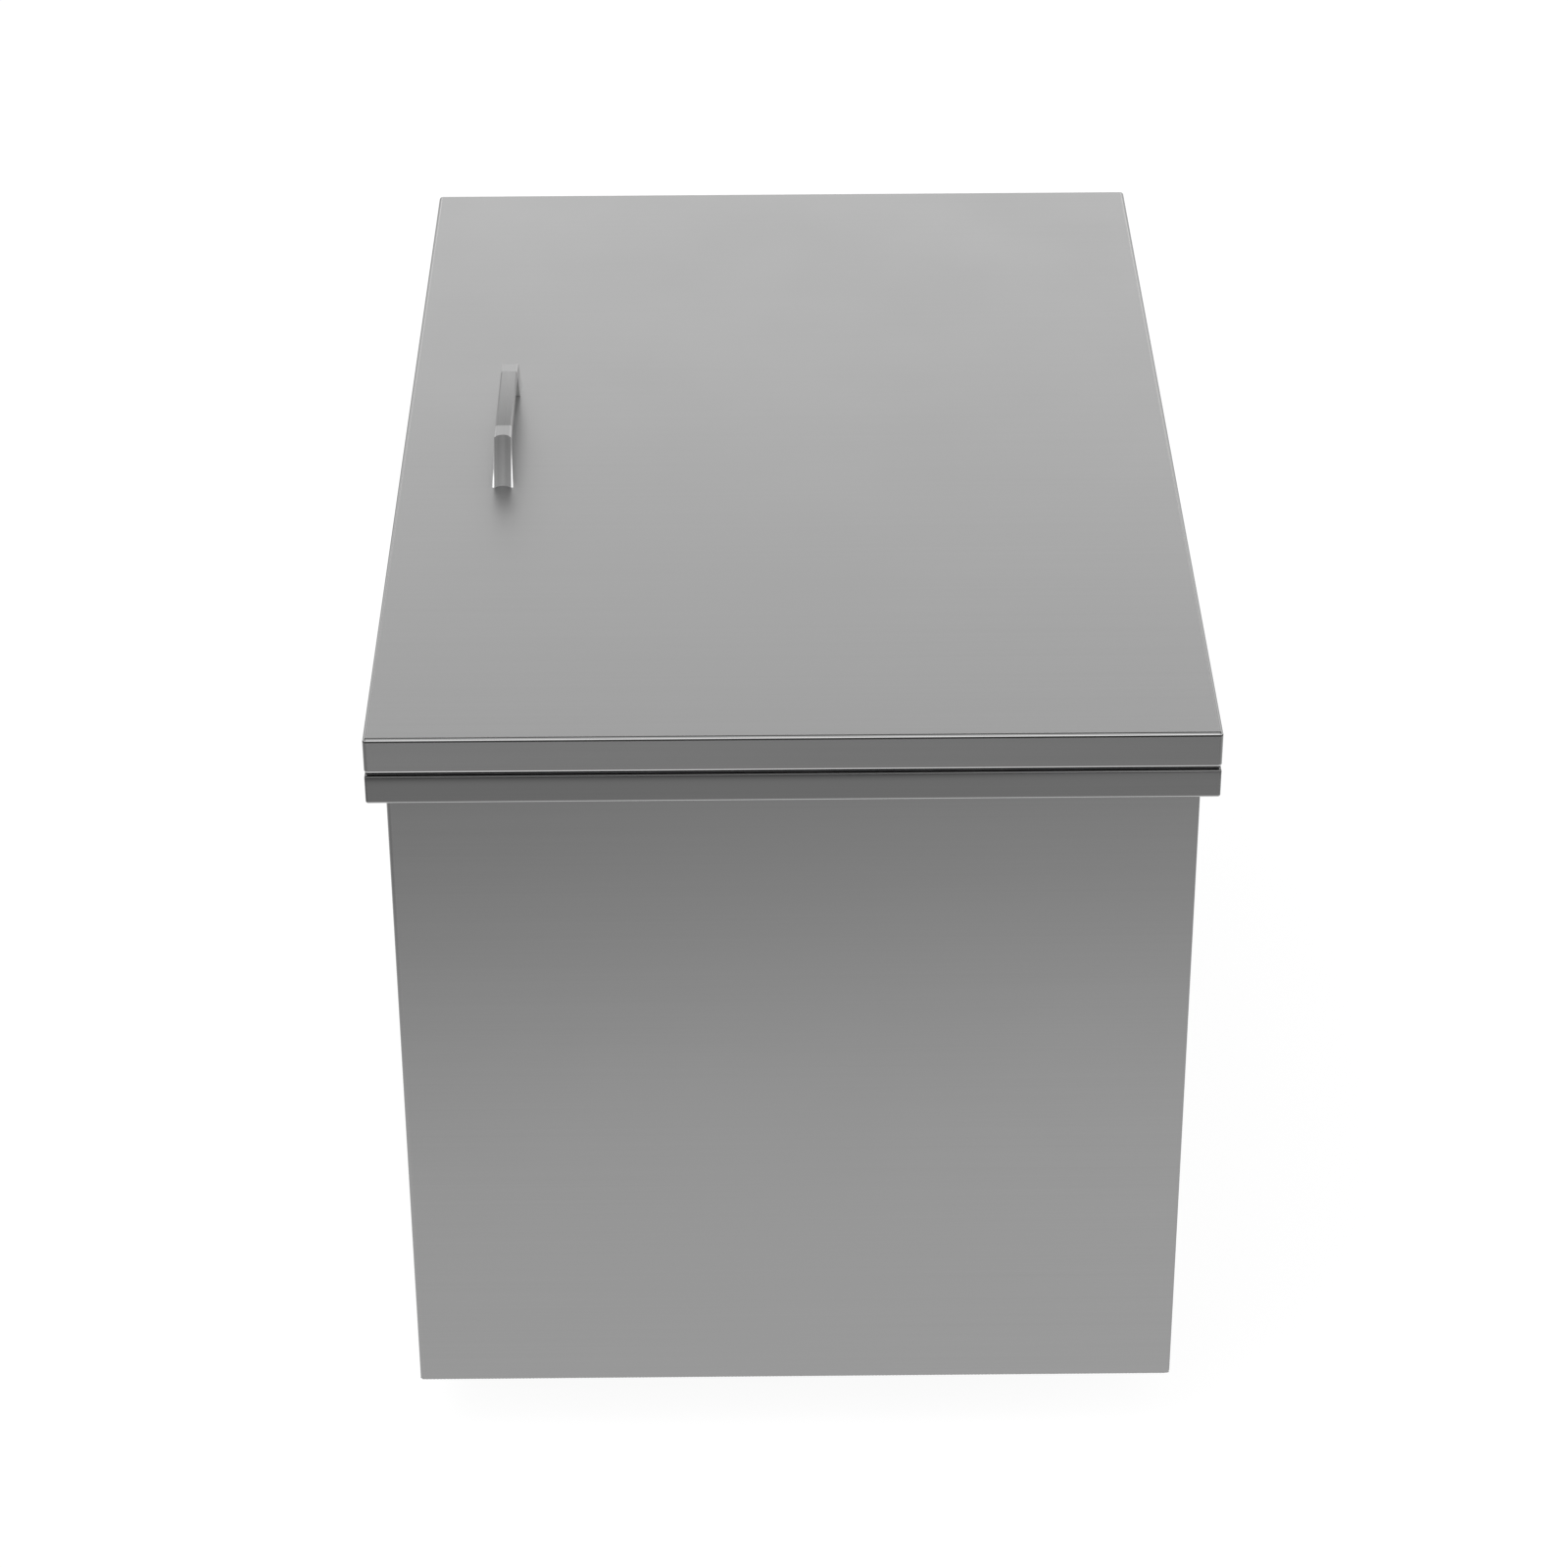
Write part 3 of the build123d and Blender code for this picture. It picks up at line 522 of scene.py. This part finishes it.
finishes = {
    "casing": brushedSteel("casingSteel", steelLook["casing"]),
    "rim": brushedSteel("rimSteel", steelLook["rim"]),
    "lid": brushedSteel("lidSteel", steelLook["lid"]),
    "tank": brushedSteel("tankSteel", steelLook["tank"]),
    "lidInside": brushedSteel("lidInsideSteel", steelLook["lidInside"]),
    "hinge": brushedSteel("hingeSteel", steelLook["hinge"]),
    "inner": brushedSteel("innerSteel", steelLook["inner"]),
    "handle": handleSteel("handleSteel"),
    "turned": turnedSteel("turnedSteel"),
    "bright": brightSteel("brightSteel"),
    "rubber": rubber("blackRubber"),
    "foam": rigidFoam("insulationFoam"),
    "fibre": pressedFibre("redFibre"),
}
nodeFinish = {
    "tank_liner": "tank", "lid_liner": "lidInside",
    "top_rim": "rim", "lid_pan": "lid",
    "casing_wrap": "casing", "casing_back": "casing", "base_pan": "casing",
    "foam_board_floor": "foam", "foam_board_front": "foam", "foam_board_back": "foam",
    "foam_board_left": "foam", "foam_board_right": "foam", "lid_foam": "foam",
    "hinge_leaf_lower": "hinge", "hinge_leaf_upper": "hinge", "hinge_pin": "bright",
    "rim_hinge_bar": "inner", "lid_hinge_bar": "inner", "handle_backing": "inner",
    "drain_body": "turned", "drain_crossbar": "inner", "drain_strainer": "turned",
    "drain_locknut": "turned", "drain_sleeve": "turned", "drain_washer": "rubber",
    "lock_washer": "fibre", "strainer_screw": "bright", "handle_screws": "bright",
    "handle_bar": "handle", "lid_seal": "rubber", "plug_body": "rubber", "plug_loop": "bright",
}
for nodeName, finish in nodeFinish.items():
    mesh = nodes[nodeName].data
    mesh.materials.clear()
    mesh.materials.append(finishes[finish])
print("finishes:", len(finishes), "on", len(nodeFinish), "nodes")


# New pieces: numpy grids put into meshes

sunk = 0.00002    # metres that a new piece is let into the sheet it sits on


def gridMesh(name, points, closeU=False, closeV=False, capEnds=False):
    # points[k, i, j] is the k-th surface, at its first parameter's i-th step and its second's j-th
    points = points if points.ndim == 4 else points[None]
    count, rows, columns = points.shape[:3]
    i = np.arange(rows if closeU else rows - 1)[:, None]
    j = np.arange(columns if closeV else columns - 1)[None, :]
    nextI, nextJ = (i + 1) % rows, (j + 1) % columns
    corners = [i * columns + j, i * columns + nextJ, nextI * columns + nextJ, nextI * columns + j]
    one = np.stack([np.broadcast_to(c, (i.size, j.size)).ravel() for c in corners], axis=1)
    faces = (np.arange(count)[:, None, None] * rows * columns + one[None]).reshape(-1, 4).tolist()
    if capEnds:
        faces.append(list(range(columns - 1, -1, -1)))
        faces.append(list(range((rows - 1) * columns, rows * columns)))
    mesh = bpy.data.meshes.new(name)
    mesh.from_pydata(points.reshape(-1, 3).tolist(), [], faces)
    mesh.polygons.foreach_set("use_smooth", np.ones(len(faces), dtype=bool))
    mesh.update()
    piece = bpy.data.objects.new(name, mesh)
    bpy.context.scene.collection.objects.link(piece)
    return piece


def finishPiece(piece, finish, body):
    piece.data.materials.append(finishes[finish])
    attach(piece, body)


def rippled(travel, look):
    # the size of a bead: it falls by a share once every ripple, as a cosine of the way along it
    return 1.0 - look["share"] * (0.5 - 0.5 * np.cos(2 * math.pi * travel / look["ripple"]))


seamWeld = {
    "width": 0.0024, "height": 0.00035, "ripple": 0.0013, "share": 0.25,
    "steps": 5, "section": 9,      # points for each ripple and across the bead
    "fromSide": 0.0008,            # the back's side seams, in from the casing's sides
    "lowGap": 0.002, "highGap": 0.001,
}


def verticalSeam(name, side):
    # half an ellipse across the seam, carried up it
    look = seamWeld
    low, high = wrapLow.z + look["lowGap"], rimLow.z - look["highGap"]
    count = int((high - low) / look["ripple"]) * look["steps"]
    z = np.linspace(low, high, count)[:, None]
    angle = np.linspace(0.0, math.pi, look["section"])[None, :]
    size = rippled(z, look)
    middle = side * (wrapHigh.x - look["fromSide"])
    x = middle + 0.5 * look["width"] * size * np.cos(angle)
    y = wrapHigh.y - sunk + look["height"] * size * np.sin(angle)
    points = np.stack([x, y, np.broadcast_to(z, x.shape)], axis=2)
    return gridMesh(name, points, closeV=True, capEnds=True)


for side, word in ((-1, "Left"), (1, "Right")):
    finishPiece(verticalSeam("backSeam" + word, side), "casing", "bin")
print("seams done")


def raisedRings(name, centres, radii, look, level, up=1):
    # half-round ribs about upright axes: out from a centre by a cosine and up by a sine of the
    # section's angle, or down where up is -1
    turn = np.linspace(0.0, 2 * math.pi, look["steps"], endpoint=False)[None, :, None]
    section = np.linspace(0.0, math.pi, look["section"])[None, None, ::up]
    distance = np.array(radii)[:, None, None] - 0.5 * look["width"] * np.cos(section)
    x = np.array(centres)[:, 0, None, None] + distance * np.cos(turn)
    y = np.array(centres)[:, 1, None, None] + distance * np.sin(turn)
    z = np.broadcast_to(level + up * (look["height"] * np.sin(section) - sunk), x.shape)
    return gridMesh(name, np.stack([x, y, z], axis=3), closeU=True, closeV=True)


stopperRibs = {
    "radii": (0.0165, 0.0205, 0.0245), "width": 0.0012, "height": 0.0005, "steps": 96, "section": 7,
    "belowTop": 0.003,      # the stopper's flat, under the top of its boss
}
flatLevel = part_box("plug_body")[1].z - stopperRibs["belowTop"]
ribs = raisedRings("stopperRibs", [(0.0, 0.0)] * 3, stopperRibs["radii"], stopperRibs, flatLevel)
finishPiece(ribs, "rubber", "stopper")
print("stopper ribs done")


spotWelds = {
    "radius": 0.0022, "width": 0.0009, "height": 0.00007, "steps": 24, "section": 7,
    "spacing": 0.062,
    "lap": 0.0045,                     # in from the edge of the sheet
    "leafEnd": 0.01,                   # in from the ends of the hinge
    "liner": 0.0006, "leaf": 0.0006,   # sheet thicknesses
}
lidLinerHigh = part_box("lid_liner")[1]
lidLow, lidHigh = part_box("lid_pan")
leafLow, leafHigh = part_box("hinge_leaf_lower")


def evenPlaces(half, spacing):
    # places from -half to half, as near as can be to the spacing apart
    return np.linspace(-half, half, int(round(2 * half / spacing)) + 1)


def weldMarks(name, centres, level, up):
    # a ring of one size round each centre
    radii = [spotWelds["radius"]] * len(centres)
    return raisedRings(name, centres, radii, spotWelds, level, up)


def spotWelding():
    # the shallow rings that spot welding leaves, round the lid liner's flange and along the hinge
    look = spotWelds
    halfX, halfY = lidLinerHigh.x - look["lap"], lidLinerHigh.y - look["lap"]
    ends = [(side * halfX, y) for side in (-1, 1) for y in evenPlaces(halfY, look["spacing"])]
    betweenEnds = evenPlaces(halfX, look["spacing"])[1:-1]
    sides = [(x, side * halfY) for side in (-1, 1) for x in betweenEnds]
    marks = weldMarks("lidLinerWelds", ends + sides, lidLow.z - look["liner"], -1)
    finishPiece(marks, "lidInside", "lid")
    alongX = evenPlaces(leafHigh.x - look["leafEnd"], look["spacing"])
    hinge = [(x, leafLow.y + look["lap"]) for x in alongX]
    marks = weldMarks("hingeWelds", hinge, rimHigh.z + look["leaf"], 1)
    finishPiece(marks, "hinge", "bin")


spotWelding()
print("spot welds done")


tailThread = {
    "radius": 0.0166, "pitch": 0.0012,
    "top": -0.4116, "low": -0.4139,      # heights between which the tail shows under its locknut
    "width": 0.0009, "height": 0.00045, "sunk": 0.00003,
    "steps": 64, "section": 9,      # points for each turn and across the ridge
    "fade": 6.0, "least": 0.05,     # how fast it rises from an end, and what is left of it there
}


def drainThread():
    # a helix down the drain's tail: a ridge of half an ellipse, sunk to nothing at both ends by a sine
    look = tailThread
    turns = (look["top"] - look["low"] - look["width"]) / look["pitch"]
    travel = np.linspace(0.0, 1.0, int(turns * look["steps"]))[:, None]
    section = np.linspace(0.0, math.pi, look["section"])[None, :]
    size = np.clip(look["fade"] * np.sin(math.pi * travel), look["least"], 1.0)
    distance = look["radius"] - look["sunk"] + look["height"] * size * np.sin(section)
    angle = 2 * math.pi * turns * travel
    middle = look["top"] - 0.5 * look["width"] - turns * look["pitch"] * travel
    z = middle + 0.5 * look["width"] * np.cos(section)
    points = np.stack([distance * np.cos(angle), distance * np.sin(angle), z], axis=2)
    thread = gridMesh("drainThread", points, closeV=True, capEnds=True)
    finishPiece(thread, "turned", "bin")


drainThread()
print("drain thread done")


cornerSteps = 9    # points for each quarter turn
sealLip = {
    "inset": 0.0008, "radius": 0.0016,
    "inward": 0.0050,       # its width
    "above": 0.0002,        # over the rim
    "hingeRoom": 0.0015,    # past the ends of the hinge
    "steps": 16,
}


def roundedCorners(halfX, halfY, radius, quarters):
    # a rounded rectangle's corners, each a quarter turn, and which way is out at each of their points
    quarter = np.repeat(np.array(quarters), cornerSteps)
    degrees = 90 * quarter + np.tile(np.linspace(0, 90, cornerSteps), len(quarters))
    angle = np.radians(degrees)
    centreX = np.where((quarter == 0) | (quarter == 3), 1, -1) * (halfX - radius)
    centreY = np.where(quarter < 2, 1, -1) * (halfY - radius)
    out = np.stack([np.cos(angle), np.sin(angle)], axis=1)
    return np.stack([centreX, centreY], axis=1) + radius * out, out


def sealEdge():
    # the seal's thin outer lip under the lid's fold: an ellipse carried round the seam, from one end
    # of the hinge to the other
    look = sealLip
    halfX, halfY = lidHigh.x - look["inset"], lidHigh.y - look["inset"]
    path, out = roundedCorners(halfX, halfY, look["radius"], (1, 2, 3, 0))
    hingeEnd = leafHigh.x + look["hingeRoom"]
    path = np.concatenate([[(-hingeEnd, halfY)], path, [(hingeEnd, halfY)]])
    out = np.concatenate([[(0.0, 1.0)], out, [(0.0, 1.0)]])
    around = np.linspace(0.0, 2 * math.pi, look["steps"], endpoint=False)[None, ::-1]
    half = 0.5 * look["inward"]
    reach = half * np.cos(around) - half
    x = path[:, :1] + out[:, :1] * reach
    y = path[:, 1:] + out[:, 1:] * reach
    low, high = rimHigh.z + look["above"], lidLow.z + sunk
    z = np.broadcast_to((low + high) / 2 + (high - low) / 2 * np.sin(around), x.shape)
    lip = gridMesh("sealLip", np.stack([x, y, z], axis=2), closeV=True, capEnds=True)
    finishPiece(lip, "rubber", "lid")


sealEdge()
print("seal lip done")


baseBead = {
    "width": 0.0030, "height": 0.0006, "radius": 0.0030, "ripple": 0.0020, "share": 0.3,
    "steps": 4, "section": 7,      # points for each ripple and across the bead
}
baseLow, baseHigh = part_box("base_pan")


def baseSeam():
    # a weld round the base, where the pan meets the casing: half an ellipse carried round a rounded
    # rectangle
    look = baseBead
    halfX, halfY = (baseHigh.x + wrapHigh.x) / 2, (baseHigh.y + wrapHigh.y) / 2
    corners, out = roundedCorners(halfX, halfY, look["radius"], (0, 1, 2, 3))
    closed = np.concatenate([corners, corners[:1]])
    closedOut = np.concatenate([out, out[:1]])
    steps = np.linalg.norm(np.diff(closed, axis=0), axis=1)
    length = np.concatenate([[0.0], np.cumsum(steps)])
    count = int(length[-1] / look["ripple"]) * look["steps"]
    travel = np.linspace(0.0, length[-1], count, endpoint=False)
    path = np.stack([np.interp(travel, length, closed[:, k]) for k in (0, 1)], axis=1)
    outward = np.stack([np.interp(travel, length, closedOut[:, k]) for k in (0, 1)], axis=1)
    section = np.linspace(0.0, math.pi, look["section"])[None, :]
    size = rippled(travel[:, None], look)
    reach = 0.5 * look["width"] * size * np.cos(section)
    # clipped at the casing's sides, which it doesn't stand out from
    x = np.clip(path[:, :1] + outward[:, :1] * reach, -wrapHigh.x, wrapHigh.x)
    y = np.clip(path[:, 1:] + outward[:, 1:] * reach, -wrapHigh.y, wrapHigh.y)
    z = baseLow.z + sunk - look["height"] * size * np.sin(section)
    bead = gridMesh("baseSeam", np.stack([x, y, z], axis=2), closeU=True, closeV=True)
    finishPiece(bead, "casing", "bin")


baseSeam()
print("base seam done")


# Studio: floor, world, lamp and camera

floorLook = {
    "halfSize": 9.0,
    "albedo": 0.8,
    "direct": 1.12,                # strength to the camera, a little over white
    "directShare": 0.80,           # of what the camera sees, the rest is lit floor
    "near": 0.64,                  # strength in the metal, close to the object
    "fade": (0.27, 0.80),          # metres from the casing's sides where it goes from near to far
    "farElsewhere": 0.55,
    "farFront": 0.29,              # in front of the short end that faces the camera
    "front": (0.0, 0.6),           # metres along X from elsewhere to the front
    "distant": 0.17,               # well in front of it
    "distantFrom": (0.9, 1.8),     # metres in front of the casing
    "sideways": 0.08,              # how much brighter it is a metre towards the hinge's side
    "slant": 0.15,                 # metres later that it fades for each metre towards that side
}


def mirroredFloor(tree, place):
    # how bright the floor is in the metal: it fades with the distance from the casing's sides, which is
    # the length of what sticks out past its half sizes
    look = floorLook
    where = splitXYZ(tree, place.outputs["Object"])
    outside = addNode(tree, "ShaderNodeVectorMath", {0: place.outputs["Object"]}, operation="ABSOLUTE")
    halfSizes = (wrapHigh.x, wrapHigh.y, look["halfSize"])
    past = addNode(tree, "ShaderNodeVectorMath", {0: outside.outputs[0], 1: halfSizes},
                   operation="SUBTRACT")
    kept = addNode(tree, "ShaderNodeVectorMath", {0: past.outputs[0], 1: (0.0, 0.0, 0.0)},
                   operation="MAXIMUM")
    away = addNode(tree, "ShaderNodeVectorMath", {0: kept.outputs[0]}, operation="LENGTH")
    shifted = maths(tree, "MULTIPLY_ADD", where[1], -look["slant"], away.outputs["Value"])
    fade = remap(tree, shifted, *look["fade"], 0.0, 1.0, "SMOOTHSTEP")
    far = remap(tree, where[0], *look["front"], look["farElsewhere"], look["farFront"])
    close = mixValues(tree, fade, look["near"], far)
    gone = rise(tree, where[0], *[wrapHigh.x + distance for distance in look["distantFrom"]])
    level = mixValues(tree, gone, close, look["distant"])
    tilt = remap(tree, where[1], -1.0, 1.0, 1.0 - look["sideways"], 1.0 + look["sideways"])
    return product(tree, level, tilt)


def mixShaders(tree, share, first, second):
    inputs = {0: share, 1: first.outputs[0], 2: second.outputs[0]}
    return addNode(tree, "ShaderNodeMixShader", inputs)


def makeFloor():
    # near white to the camera, pale to other light, and with a brightness of its own in the metal
    look = floorLook
    side = np.linspace(-look["halfSize"], look["halfSize"], 2)
    x, y = np.meshgrid(side, side)
    floor = gridMesh("studioFloor", np.stack([x, y, np.full_like(x, cadLow.z)], axis=2))
    material = bpy.data.materials.new("paleFloor")
    material.use_nodes = True
    material.cycles.emission_sampling = "NONE"
    tree = material.node_tree
    tree.nodes.clear()
    output = addNode(tree, "ShaderNodeOutputMaterial")
    ray = addNode(tree, "ShaderNodeLightPath").outputs
    place = addNode(tree, "ShaderNodeTexCoord")
    plain = addNode(tree, "ShaderNodeBsdfDiffuse", {"Color": grey(look["albedo"])})
    white = addNode(tree, "ShaderNodeEmission", {"Color": grey(1.0), "Strength": look["direct"]})
    level = mirroredFloor(tree, place)
    mirrored = addNode(tree, "ShaderNodeEmission", {"Color": grey(1.0), "Strength": level})
    direct = mixShaders(tree, look["directShare"], plain, white)
    inMetal = maths(tree, "MAXIMUM", ray["Is Glossy Ray"], ray["Is Transmission Ray"])
    bounced = mixShaders(tree, inMetal, plain, mirrored)
    final = mixShaders(tree, ray["Is Camera Ray"], bounced, direct)
    tree.links.new(final.outputs[0], output.inputs["Surface"])
    floor.data.materials.append(material)


skyLook = {  # elevation in degrees and brightness, all round and towards the camera's side
    "around": ((-90, 0.4), (-3, 0.5), (6, 0.85), (13, 1.42), (20, 1.38),
               (27, 0.92), (34, 0.56), (44, 0.45), (60, 0.45), (74, 0.85), (90, 0.95)),
    "front": ((-90, 0.3), (-3, 0.15), (8, 0.18), (18, 0.45), (28, 0.85),
              (36, 1.55), (48, 1.55), (58, 0.70), (66, 0.50), (74, 0.85), (90, 0.95)),
    "frontWidth": (0.70, 0.92),   # cosine of the heading from +X where the front sky starts and is full
    "sideways": 0.05,             # how much brighter it is towards the hinge's side
    "leastLength": 0.001,         # so that nothing is divided by zero straight above
}


def skyRamp(tree, height, levels):
    # the ramp runs over the sine of the elevation, from straight down to straight up
    ramp = addNode(tree, "ShaderNodeValToRGB", {0: rise(tree, height, -1.0, 1.0)})
    stops = ramp.color_ramp.elements
    while len(stops) < len(levels):
        stops.new(0.5)
    for stop, (elevation, level) in zip(stops, levels):
        stop.position = 0.5 + 0.5 * math.sin(math.radians(elevation))
        stop.color = grey(level)
    return ramp.outputs[0]


def makeSky():
    # a soft studio in the metal, plain white to the camera
    look = skyLook
    world = bpy.data.worlds.new("softStudio")
    bpy.context.scene.world = world
    world.use_nodes = True
    tree = world.node_tree
    tree.nodes.clear()
    output = addNode(tree, "ShaderNodeOutputWorld")
    direction = addNode(tree, "ShaderNodeTexCoord").outputs["Generated"]
    heading = splitXYZ(tree, direction)
    level = addNode(tree, "ShaderNodeVectorMath", {0: direction, 1: (1.0, 1.0, 0.0)},
                    operation="MULTIPLY")
    length = addNode(tree, "ShaderNodeVectorMath", {0: level.outputs[0]}, operation="LENGTH")
    safeLength = maths(tree, "MAXIMUM", length.outputs["Value"], look["leastLength"])
    toFront = rise(tree, maths(tree, "DIVIDE", heading[0], safeLength), *look["frontWidth"])
    around = skyRamp(tree, heading[2], look["around"])
    front = skyRamp(tree, heading[2], look["front"])
    colour = mixColours(tree, toFront, around, front)
    tilt = remap(tree, heading[1], -1.0, 1.0, 1.0 - look["sideways"], 1.0 + look["sideways"])
    soft = addNode(tree, "ShaderNodeBackground", {"Color": colour, "Strength": tilt})
    white = addNode(tree, "ShaderNodeBackground", {"Color": grey(1.0), "Strength": 1.0})
    ray = addNode(tree, "ShaderNodeLightPath").outputs
    both = mixShaders(tree, ray["Is Camera Ray"], soft, white)
    tree.links.new(both.outputs[0], output.inputs["Surface"])


lampLook = {"energy": 30.0, "size": 2.2, "place": (0.9, -1.3, 2.6), "aim": (0.0, 0.0, -0.1)}


def makeLamp():
    # a square lamp that looks at its aim, seen neither by the camera nor in the metal
    lamp = bpy.data.lights.new("softBox", "AREA")
    lamp.shape = "SQUARE"
    lamp.size = lampLook["size"]
    lamp.energy = lampLook["energy"]
    holder = bpy.data.objects.new("softBox", lamp)
    bpy.context.scene.collection.objects.link(holder)
    place = np.array(lampLook["place"])
    back = place - np.array(lampLook["aim"])
    back = back / np.linalg.norm(back)
    right = np.cross((0.0, 0.0, 1.0), back)
    right = right / np.linalg.norm(right)
    axes = np.eye(4)
    axes[:3] = np.stack([right, np.cross(back, right), back, place], axis=1)
    holder.matrix_world = Matrix(axes.tolist())
    holder.visible_camera = False
    holder.visible_glossy = False


cameraLook = {
    "place": (2.3480, -0.0184, 1.2239),
    "pitch": 31.338,       # degrees below the horizon
    "heading": 89.612,     # degrees from +Y
    "roll": -0.245,        # degrees
    "lens": 100.44,        # millimetres, as the sensor's width is
    "sensor": 36.0,
    "clip": (0.05, 50.0),
}


def makeCamera():
    # from looking straight down it is rolled, then tipped up as far as the pitch leaves, then turned to
    # its heading about the upright axis
    look = cameraLook
    data = bpy.data.cameras.new("camera")
    data.lens = look["lens"]
    data.sensor_width = look["sensor"]
    data.clip_start, data.clip_end = look["clip"]
    camera = bpy.data.objects.new("camera", data)
    bpy.context.scene.collection.objects.link(camera)
    turn = Matrix.Rotation(math.radians(look["heading"]), 4, "Z")
    tilt = Matrix.Rotation(math.radians(90.0 - look["pitch"]), 4, "X")
    roll = Matrix.Rotation(math.radians(look["roll"]), 4, "Z")
    camera.matrix_world = Matrix.Translation(look["place"]) @ turn @ tilt @ roll
    bpy.context.scene.camera = camera


makeFloor()
makeSky()
makeLamp()
makeCamera()
bpy.context.scene.view_settings.view_transform = "Standard"
print("studio done")
